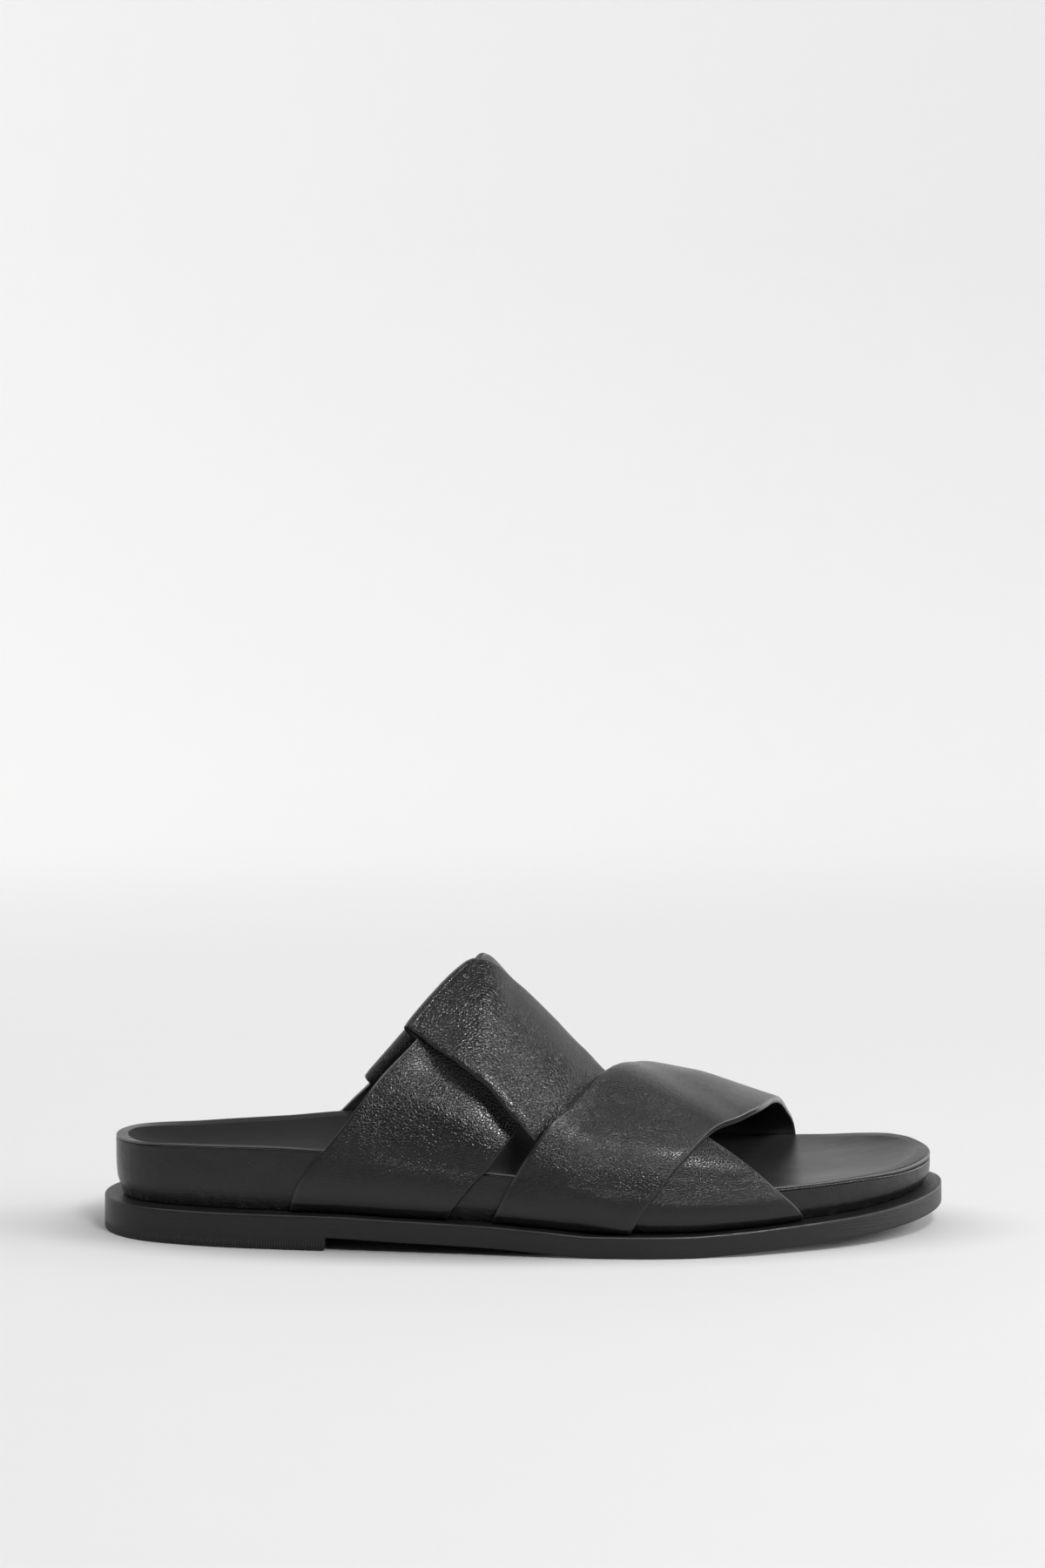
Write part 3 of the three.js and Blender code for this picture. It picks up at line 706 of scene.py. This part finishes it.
class Nodes:
    """Short calls for building one material's nodes."""

    def __init__(self, name):
        self.material = bpy.data.materials.new(name)
        self.material.use_nodes = True
        self.tree = self.material.node_tree
        self.shader = self.tree.nodes["Principled BSDF"]

    def add(self, kind, inputs=None, **settings):
        node = self.tree.nodes.new(kind)
        for key, value in settings.items():
            setattr(node, key, value)
        for key, value in (inputs or {}).items():
            socket = node.inputs[key]
            if isinstance(value, bpy.types.NodeSocket):
                self.tree.links.new(value, socket)
            else:
                socket.default_value = value
        return node

    def math(self, operation, a, b=0.0, clamp=False):
        return self.add("ShaderNodeMath", {0: a, 1: b}, operation=operation, use_clamp=clamp).outputs[0]

    def mark(self, name):
        return self.add("ShaderNodeAttribute", attribute_name=name).outputs["Fac"]

    def uv(self, scale=(1.0, 1.0, 1.0)):
        """The piece's own flat millimetres, scaled."""
        source = self.add("ShaderNodeUVMap", uv_map="millimetres").outputs[0]
        mapping = self.add("ShaderNodeMapping", {"Vector": source})
        mapping.inputs["Scale"].default_value = scale
        return mapping.outputs[0]

    def noise(self, vector, scale, detail=2.0, rough=0.5):
        inputs = {"Vector": vector, "Scale": scale, "Detail": detail, "Roughness": rough}
        return self.add("ShaderNodeTexNoise", inputs).outputs["Fac"]

    def range(self, value, low, high, to_low=0.0, to_high=1.0, kind="LINEAR"):
        inputs = {0: value, 1: low, 2: high, 3: to_low, 4: to_high}
        return self.add("ShaderNodeMapRange", inputs, interpolation_type=kind).outputs[0]

    def mixed(self, share, a, b):
        node = self.add("ShaderNodeMix", data_type="RGBA")
        for key, value in ((0, share), (6, a), (7, b)):
            if isinstance(value, bpy.types.NodeSocket):
                self.tree.links.new(value, node.inputs[key])
            else:
                node.inputs[key].default_value = value
        return node.outputs[2]

    def bump(self, height, strength=1.0):
        inputs = {"Height": height, "Strength": strength, "Distance": 0.001}
        return self.add("ShaderNodeBump", inputs).outputs[0]

    def finish(self, color, roughness, normal, specular=0.5):
        for key, value in (("Base Color", color), ("Roughness", roughness), ("Normal", normal)):
            if isinstance(value, bpy.types.NodeSocket):
                self.tree.links.new(value, self.shader.inputs[key])
            else:
                self.shader.inputs[key].default_value = value
        self.shader.inputs["Specular IOR Level"].default_value = specular
        self.shader.inputs["IOR"].default_value = SURFACE_IOR
        return self.material


def pebbles(nodes, vector, scale, valley, warp=0.35):
    """Heights of pebbled grain, 0 to 1: cells of uneven size with soft tops between fine valleys."""
    drift = {"Vector": vector, "Scale": 0.55, "Detail": 2.0}
    wander = nodes.add("ShaderNodeTexNoise", drift).outputs["Color"]
    halves = {0: wander, 1: (0.5, 0.5, 0.5)}
    centred = nodes.add("ShaderNodeVectorMath", halves, operation="SUBTRACT").outputs[0]
    moved = nodes.add("ShaderNodeVectorMath", {0: centred, "Scale": warp}, operation="SCALE").outputs[0]
    place = nodes.add("ShaderNodeVectorMath", {0: vector, 1: moved}, operation="ADD").outputs[0]
    inputs = {"Vector": place, "Scale": scale}
    cells = nodes.add("ShaderNodeTexVoronoi", inputs, feature="DISTANCE_TO_EDGE", voronoi_dimensions="2D")
    return nodes.range(cells.outputs["Distance"], 0.0, valley, kind="SMOOTHSTEP")


def strap_material():
    nodes = Nodes("strap_leather")
    grain, inside, edge = nodes.mark("grain"), nodes.mark("inside"), nodes.mark("edge")
    flat = nodes.uv(scale=(0.85, 1.2, 1))
    coarse = pebbles(nodes, flat, 1.1, 0.24, 0.7)
    fine = pebbles(nodes, nodes.uv(scale=(1.0, 1.15, 1)), 2.1, 0.25)
    patches = nodes.noise(flat, 0.045, 3.0)
    pores = nodes.noise(flat, 3.2, 3.0, 0.6)
    depth = nodes.math("MULTIPLY", grain, nodes.range(patches, 0.36, 0.64, 0.8, 1.2))
    depth = nodes.math("MULTIPLY", depth, nodes.math("SUBTRACT", 1.0, edge, clamp=True))
    depth = nodes.math("MULTIPLY", depth, nodes.range(inside, 0, 1, 1, 0.15))
    depth = nodes.math("ADD", nodes.math("MULTIPLY", depth, 0.95), 0.05)
    grains = nodes.math("ADD", nodes.math("MULTIPLY", coarse, 0.08), nodes.math("MULTIPLY", fine, 0.025))
    height = nodes.math("MULTIPLY", grains, depth)
    height = nodes.math("ADD", height, nodes.math("MULTIPLY", pores, 0.01))
    height = nodes.math("ADD", height, nodes.math("MULTIPLY", nodes.noise(flat, 0.12, 1.0), 0.03))
    # The grain's valleys are painted darker: painted shade in the fine hollows between the pebbles. They are
    # rougher as well.
    valley = nodes.math("MULTIPLY", depth, nodes.range(coarse, 0.0, 0.5, 1, 0))
    color = nodes.mixed(valley, (0.0065, 0.0065, 0.0071, 1), (0.003, 0.003, 0.0034, 1))
    color = nodes.mixed(inside, color, (0.009, 0.0085, 0.0085, 1))
    # Edges are painted lighter than the faces: a painted highlight that draws bright lines along the cut
    # edges.
    color = nodes.mixed(edge, color, (0.018, 0.018, 0.0185, 1))
    rough = nodes.range(patches, 0.3, 0.7, 0.17, 0.2)
    rough = nodes.math("ADD", rough, nodes.math("MULTIPLY", valley, 0.1))
    rough = nodes.math("ADD", rough, nodes.math("MULTIPLY", inside, 0.25))
    return nodes.finish(color, rough, nodes.bump(height))


def midsole_material():
    nodes = Nodes("midsole_leather")
    foot = nodes.mark("foot")
    seam = nodes.mark("seam")
    flat = nodes.uv()
    fine = pebbles(nodes, flat, 1.3, 0.3)
    rub = nodes.noise(nodes.uv(scale=(0.05, 0.22, 1)), 1.0, 3.0)
    pores = nodes.noise(flat, 3.5, 3.0, 0.6)
    rumple = nodes.noise(nodes.uv(scale=(0.45, 1.5, 1)), 1.0, 4.0, 0.65)
    pleats = nodes.noise(nodes.uv(scale=(1.25, 0.12, 1)), 1.0, 1.0)
    height = nodes.math("ADD", nodes.math("MULTIPLY", fine, 0.025), nodes.math("MULTIPLY", pores, 0.012))
    height = nodes.math("ADD", height, nodes.math("MULTIPLY", nodes.math("MULTIPLY", rumple, foot), 0.9))
    height = nodes.math("ADD", height, nodes.math("MULTIPLY", nodes.math("MULTIPLY", pleats, seam), 0.6))
    height = nodes.math("ADD", height, nodes.math("MULTIPLY", nodes.noise(flat, 0.14, 2.0), 0.3))
    normal = nodes.bump(height)
    # The wall is darker and a little redder towards its foot: partly the rough join at the ledge, partly
    # painted shade in the undercut.
    color = nodes.mixed(foot, (0.0065, 0.0065, 0.007, 1), (0.003, 0.0026, 0.0026, 1))
    rough = nodes.math("ADD", nodes.range(rub, 0.3, 0.7, 0.26, 0.36), nodes.math("MULTIPLY", foot, 0.15))
    return nodes.finish(color, rough, normal)


def insole_material():
    nodes = Nodes("insole_leather")
    edge = nodes.mark("edge")
    flat = nodes.uv()
    fine = pebbles(nodes, flat, 1.5, 0.4)
    pores = nodes.noise(flat, 3.0, 3.0, 0.6)
    worn = nodes.noise(nodes.uv(scale=(0.02, 0.035, 1)), 1.0, 3.0)
    height = nodes.math("ADD", nodes.math("MULTIPLY", fine, 0.02), nodes.math("MULTIPLY", pores, 0.008))
    height = nodes.math("ADD", height, nodes.math("MULTIPLY", nodes.noise(flat, 0.12, 2.0), 0.25))
    normal = nodes.bump(height)
    along = nodes.add("ShaderNodeSeparateXYZ", {0: flat}).outputs[0]
    # The footbed's top is darker from the middle back to the heel and paler further forward: painted shade in
    # the heel cup and painted light on the front of the footbed, seen between the straps. The paler tone also
    # varies at random.
    paler = nodes.mixed(worn, (0.014, 0.014, 0.0145, 1), (0.02, 0.02, 0.0205, 1))
    color = nodes.mixed(nodes.range(along, -60, 0), (0.004, 0.004, 0.0043, 1), paler)
    # The rounding of the cover's rim is painted much lighter: a painted highlight line along the rim, fading
    # out at the toe.
    color = nodes.mixed(edge, color, (0.1, 0.1, 0.1, 1))
    rough = nodes.math("ADD", nodes.range(worn, 0.3, 0.7, 0.29, 0.38), nodes.range(along, -60, 0, 0.4, 0.0))
    return nodes.finish(color, rough, normal, specular=0.4)


def outsole_material():
    nodes = Nodes("sole_edge")
    rib = nodes.mark("rib")
    streaks = nodes.noise(nodes.uv(scale=(0.03, 1.6, 1)), 1.0, 4.0, 0.6)
    fine = nodes.noise(nodes.uv(scale=(0.12, 5.5, 1)), 1.0, 3.0, 0.6)
    rub = nodes.noise(nodes.uv(scale=(0.03, 0.05, 1)), 1.0, 3.0)
    grit = nodes.noise(nodes.uv(), 4.0, 2.0)
    wave_in = {"Vector": nodes.uv(), "Scale": 0.4, "Distortion": 0.0}
    wave = nodes.add("ShaderNodeTexWave", wave_in, wave_profile="TRI").outputs["Fac"]
    height = nodes.math("ADD", nodes.math("MULTIPLY", streaks, 0.09), nodes.math("MULTIPLY", fine, 0.035))
    height = nodes.math("ADD", height, nodes.math("MULTIPLY", grit, 0.01))
    height = nodes.math("ADD", height, nodes.math("MULTIPLY", nodes.math("MULTIPLY", wave, rib), 0.3))
    normal = nodes.bump(height)
    color = nodes.mixed(streaks, (0.0045, 0.0044, 0.0043, 1), (0.0085, 0.0082, 0.008, 1))
    rough = nodes.range(rub, 0.3, 0.7, 0.36, 0.5)
    return nodes.finish(color, rough, normal)


strap_leather = strap_material()
midsole_leather = midsole_material()
insole_leather = insole_material()
sole_edge = outsole_material()

# Straps, from the lowest to the top one
make_strap("strap_instep", instep_path, lift_none, INSTEP_CREASES, rows=200, columns=40, turn=0.35)
make_strap("strap_lateral", lateral_path, lift_over_instep, LATERAL_CREASES, corner=2.6, fold=True)
make_strap("strap_medial", medial_path, lift_over_instep, MEDIAL_CREASES, corner=2.0, fold=True)
make_strap(
    "strap_forefoot", forefoot_path, lift_over_sides, FOREFOOT_CREASES, rows=200, columns=40, turn=0.45
)

# Sole, from the insole down to the outsole
breast = HEEL_LENGTH / SOLE_LENGTH
bevel = breast - HEEL_CORNER_BEVEL / SOLE_LENGTH
behind = breast + HEEL_CORNER_BEVEL / SOLE_LENGTH * BREAST_LEAN


def station_steps(count, *more):
    """Stations from heel to toe, closer together at both ends."""
    return np.unique(np.concatenate([(1 - np.cos(np.linspace(0, math.pi, count + 1))) / 2, more]))


def seam_drop(station):
    """How far below the rim the insole's cover meets the midsole's wrap."""
    return mix(HEEL_SEAM_DROP, TOE_SEAM_DROP, cover_edge(station))


def insole_levels():
    wall = LEDGE_WIDTH + COVER_INSET
    roll = lambda station: HEEL_ROLL + TOE_ROLL_MORE * cover_edge(station)
    levels = []
    for tuck, below in COVER_TUCKS:
        levels.append((
            lambda s, t, tuck=tuck: wall + tuck + 0 * s,
            lambda s, t, below=below: footbed_height(s, t) - seam_drop(s) - below,
        ))
    for angle in np.radians([-75, -50, -25, 0, 20, 40, 58, 74, 90]):
        out, up = math.cos(angle), math.sin(angle)
        low = lambda s, up=up: -seam_drop(s) * 0.5 * (1 - up)
        levels.append((
            lambda s, t, out=out: wall + roll(s) * (1 - out) - COVER_INSET * cover_edge(s) * out,
            lambda s, t, low=low: footbed_height(s, t) + low(s),
        ))
    for extra in COVER_TURNS:
        levels.append((
            lambda s, t, extra=extra: wall + roll(s) + extra,
            lambda s, t, extra=extra: footbed_height(s, t * (1 - extra / COVER_REACH)) - COVER_SINK,
        ))
    return levels


insole = insole_levels()
# The edge mark covers the outer rounding of the cover's rim, fading out at the toe; the insole paints a
# highlight line there.
insole_marks = {"edge": lambda n, s, t: np.where((n >= 2) & (n <= 7), 1.0 - cover_edge(s), 0.0)}
make_shell(
    "insole_cover", insole, station_steps(220), 56, insole_leather, ["insole"], insole_marks
)


def midsole_levels():
    base = lambda s: ledge_height(s) + WRAP_GAP
    levels = []
    for share in WRAP_SHARES:
        crumple = max(0.0, 1 - share / PLEAT_SHARE)
        levels.append((
            lambda s, t, share=share, crumple=crumple: (
                LEDGE_WIDTH + WRAP_GAP + WALL_UNDERCUT * set_back(share) + crumple * foot_pleats(s, t)
                + FOOT_TUCK * max(0.0, 1 - share / TUCK_SHARE) ** TUCK_POWER
            ),
            lambda s, t, share=share: mix(base(s), rim_height(s, t) - seam_drop(s) - WRAP_ROLL, share),
        ))
    for angle in np.radians([0, 30, 60, 90]):
        levels.append((
            lambda s, t, angle=angle: LEDGE_WIDTH + WRAP_GAP + WRAP_ROLL * (1 - math.cos(angle)) + 0 * s,
            lambda s, t, angle=angle: footbed_height(s, t) - seam_drop(s) - WRAP_ROLL * (1 - math.sin(angle)),
        ))
    levels.append((
        lambda s, t: LEDGE_WIDTH + WRAP_TURN_IN + 0 * s,
        lambda s, t: footbed_height(s, t) - seam_drop(s) - WRAP_TURN_DROP,
    ))
    return levels


def foot_pleats(station, side):
    """Small uneven tucks of the wrap where it meets the ledge."""
    run = station * SOLE_LENGTH + side * PLEAT_SHIFT
    return noise_row(5, run, (2.3, 3.7, 6.1, 11.0), (0.1, 0.12, 0.12, 0.1))


def toe_seam(station):
    """Where the puckered seam shows on the top rounding: 1 beside the toes, easing to 0 at both ends."""
    return smooth((station - SEAM_FROM) / 0.04) * smooth((SEAM_TO - station) / 0.06)


midsole = midsole_levels()
midsole_marks = {
    "foot": lambda n, s, t: np.where(n < 5, 1.0 - n / 5, 0.0) + 0 * s,
    "seam": lambda n, s, t: np.where(n >= len(WRAP_SHARES), toe_seam(s), 0.0),
}
make_shell(
    "midsole_wrap", midsole, station_steps(340), 14, midsole_leather, ["midsole"],
    midsole_marks,
)


def underside(station):
    stepped = np.where(station <= bevel, 0.0, HEEL_CORNER_BEVEL * BEVEL_RISE)
    return np.where(station >= behind - 1e-9, waist_underside(station), stepped)


def outsole_levels():
    levels = [
        (lambda s, t, inset=inset: inset + 0 * s, lambda s, t: underside(s)) for inset in SOLE_UNDER_INSETS
    ]
    for share in (0.1, 0.35, 0.7, 1.0):
        levels.append((
            lambda s, t, share=share: SOLE_ROUND * (1 - math.sin(share * math.pi / 2)) + 0 * s,
            lambda s, t, share=share: underside(s) + SOLE_ROUND * (1 - math.cos(share * math.pi / 2)),
        ))
    for share in (0.12, 0.16, 0.3, 0.5, 0.7, 0.88):
        levels.append((
            lambda s, t, share=share: SOLE_LEAN * share + 0 * s,
            lambda s, t, share=share: mix(underside(s) + SOLE_ROUND, ledge_height(s) - LEDGE_ROUND, share),
        ))
    for share in (0.0, 0.3, 0.6, 0.85, 1.0):
        levels.append((
            lambda s, t, share=share: SOLE_LEAN + LEDGE_ROUND * (1 - math.cos(share * math.pi / 2)) + 0 * s,
            lambda s, t, share=share: ledge_height(s) - LEDGE_ROUND * (1 - math.sin(share * math.pi / 2)),
        ))
    levels.append((lambda s, t: LEDGE_INSET + 0 * s, lambda s, t: ledge_height(s)))
    return levels


outsole = outsole_levels()
outsole_marks = {"rib": lambda n, s, t: np.where((n >= 2) & (n <= 7), 1.0, 0.0) * (s < breast)}
outsole_stations = station_steps(240, bevel, breast, behind)
make_shell(
    "outsole_edge", outsole, outsole_stations, 12, sole_edge, ["outsole"], outsole_marks
)


# Stage: a pale sweep, soft light, and the photograph's camera
def make_sweep():
    """A floor that curves up into a low backdrop."""
    back, radius, top, width, front = 1.6, 0.5, 0.78, 2.6, -2.4
    profile = [(y, 0.0) for y in np.linspace(front, back - radius, 12)]
    for angle in np.linspace(0, math.pi / 2, 13)[1:]:
        profile.append((back - radius + radius * math.sin(angle), radius * (1 - math.cos(angle))))
    profile.append((back, top))
    columns = 9
    across = np.linspace(-width, width, columns)
    points = [(x, y, z) for y, z in profile for x in across]
    faces = [
        (i * columns + k, i * columns + k + 1, (i + 1) * columns + k + 1, (i + 1) * columns + k)
        for i in range(len(profile) - 1)
        for k in range(columns - 1)
    ]
    mesh = bpy.data.meshes.new("sweep")
    mesh.from_pydata(points, [], faces)
    mesh.shade_smooth()
    nodes = Nodes("pale_sweep")
    place = nodes.add("ShaderNodeTexCoord").outputs["Object"]
    speck = nodes.noise(place, 40.0, 2.0)
    tone = nodes.mixed(speck, (0.4, 0.4, 0.399, 1), (0.41, 0.41, 0.409, 1))
    shoe_scale = {0: place, 1: (7.4, 20.0, 0.0)}
    over_shoe = nodes.add("ShaderNodeVectorMath", shoe_scale, operation="MULTIPLY").outputs[0]
    off_shoe = nodes.add("ShaderNodeVectorMath", {0: over_shoe}, operation="LENGTH").outputs["Value"]
    across, depth, up = nodes.add("ShaderNodeSeparateXYZ", {0: place}).outputs
    # The floor glows as painted light, more where the lamps leave it dimmer, so that floor and backdrop look
    # evenly pale.
    glow = nodes.range(depth, -0.6, 1.2, 0.24, 0.57)
    glow = nodes.math("ADD", glow, nodes.range(up, 0.05, 0.5, 0.0, -0.1))
    glow = nodes.math("ADD", glow, nodes.range(depth, -2.2, -0.7, 0.45, 0.0))
    glow = nodes.math("SUBTRACT", glow, nodes.math("MULTIPLY", across, 0.17))
    # The glow fades out close to the shoe, so the floor beneath and beside it is darker: painted shade round
    # the shoe.
    glow = nodes.math("MULTIPLY", glow, nodes.range(off_shoe, 0.75, 1.2, kind="SMOOTHSTEP"))
    shine = nodes.mixed(glow, (0, 0, 0, 1), (1, 1, 0.998, 1))
    nodes.tree.links.new(shine, nodes.shader.inputs["Emission Color"])
    nodes.shader.inputs["Emission Strength"].default_value = 1.0
    mesh.materials.append(nodes.finish(tone, 0.9, nodes.bump(speck, 0.02), 0.1))
    sweep = bpy.data.objects.new("sweep", mesh)
    bpy.context.scene.collection.objects.link(sweep)


def make_world():
    """A pale studio, bright behind and dim in front, that the camera itself sees as plain and pale."""
    world = bpy.data.worlds.new("studio")
    world.use_nodes = True
    bpy.context.scene.world = world
    tree = world.node_tree
    background = tree.nodes["Background"]
    place = tree.nodes.new("ShaderNodeTexCoord").outputs["Generated"]
    split = tree.nodes.new("ShaderNodeSeparateXYZ")
    tree.links.new(place, split.inputs[0])
    across, depth, up = split.outputs

    def ranged(value, low, high, to_low, to_high):
        node = tree.nodes.new("ShaderNodeMapRange")
        node.interpolation_type = "SMOOTHSTEP"
        for key, item in ((0, value), (1, low), (2, high), (3, to_low), (4, to_high)):
            if isinstance(item, bpy.types.NodeSocket):
                tree.links.new(item, node.inputs[key])
            else:
                node.inputs[key].default_value = item
        return node.outputs[0]

    behind = ranged(up, 0.5, 0.68, 0.95, 0.1)
    ahead = ranged(up, 0.1, 0.45, 0.06, 0.16)
    level = ranged(depth, -0.3, 0.3, ahead, behind)
    level = ranged(up, 0.8, 0.96, level, 0.4)
    level = ranged(up, -0.03, 0.03, 0.85, level)
    seen = tree.nodes.new("ShaderNodeLightPath").outputs["Is Camera Ray"]
    tree.links.new(ranged(seen, 0.0, 1.0, level, 0.87), background.inputs["Strength"])
    background.inputs["Color"].default_value = (1, 1, 1, 1)


def add_light(name, place, target, size, power, diffuse=True, glossy=True):
    """A soft box that faces a target, and may light only matt or only glossy reflections."""
    data = bpy.data.lights.new(name, "AREA")
    data.shape = "RECTANGLE"
    data.size, data.size_y = size
    data.energy = power
    light = bpy.data.objects.new(name, data)
    bpy.context.scene.collection.objects.link(light)
    light.location = place
    light.visible_diffuse = diffuse
    light.visible_glossy = glossy
    light.rotation_euler = (Vector(target) - Vector(place)).to_track_quat("-Z", "Y").to_euler()


make_sweep()
make_world()
add_light("key", (0.36, -0.66, 0.92), (0, 0, 0.03), (0.28, 0.28), 8.5)
add_light("key_gloss", (0.46, -0.66, 0.88), (0, 0, 0.03), (0.3, 0.3), 8.5, diffuse=False)
add_light("toe_soft", (2.4, -0.1, 1.2), (0, 0, 0), (1.2, 1.2), 70, glossy=False)
add_light("toe_gloss", (1.0, -0.2, 0.28), (0, 0, 0.03), (0.8, 0.5), 5.0, diffuse=False)
add_light("toe_back", (0.82, 0.38, 0.12), (0, 0, 0.03), (0.5, 0.22), 1.5, diffuse=False)
add_light("heel_high", (-0.54, -0.24, 0.96), (0, 0, 0.03), (0.4, 0.4), 3, diffuse=False)

camera_data = bpy.data.cameras.new("camera")
camera_data.lens = 62.48
camera_data.sensor_width = 36
camera = bpy.data.objects.new("camera", camera_data)
bpy.context.scene.collection.objects.link(camera)
camera.location = (-0.00075, (-820 + SHIFT_Y) / 1000, 0.19)
camera.rotation_euler = (math.radians(90 - 3.89), 0, 0)
bpy.context.scene.camera = camera
bpy.context.scene.view_settings.view_transform = "Standard"
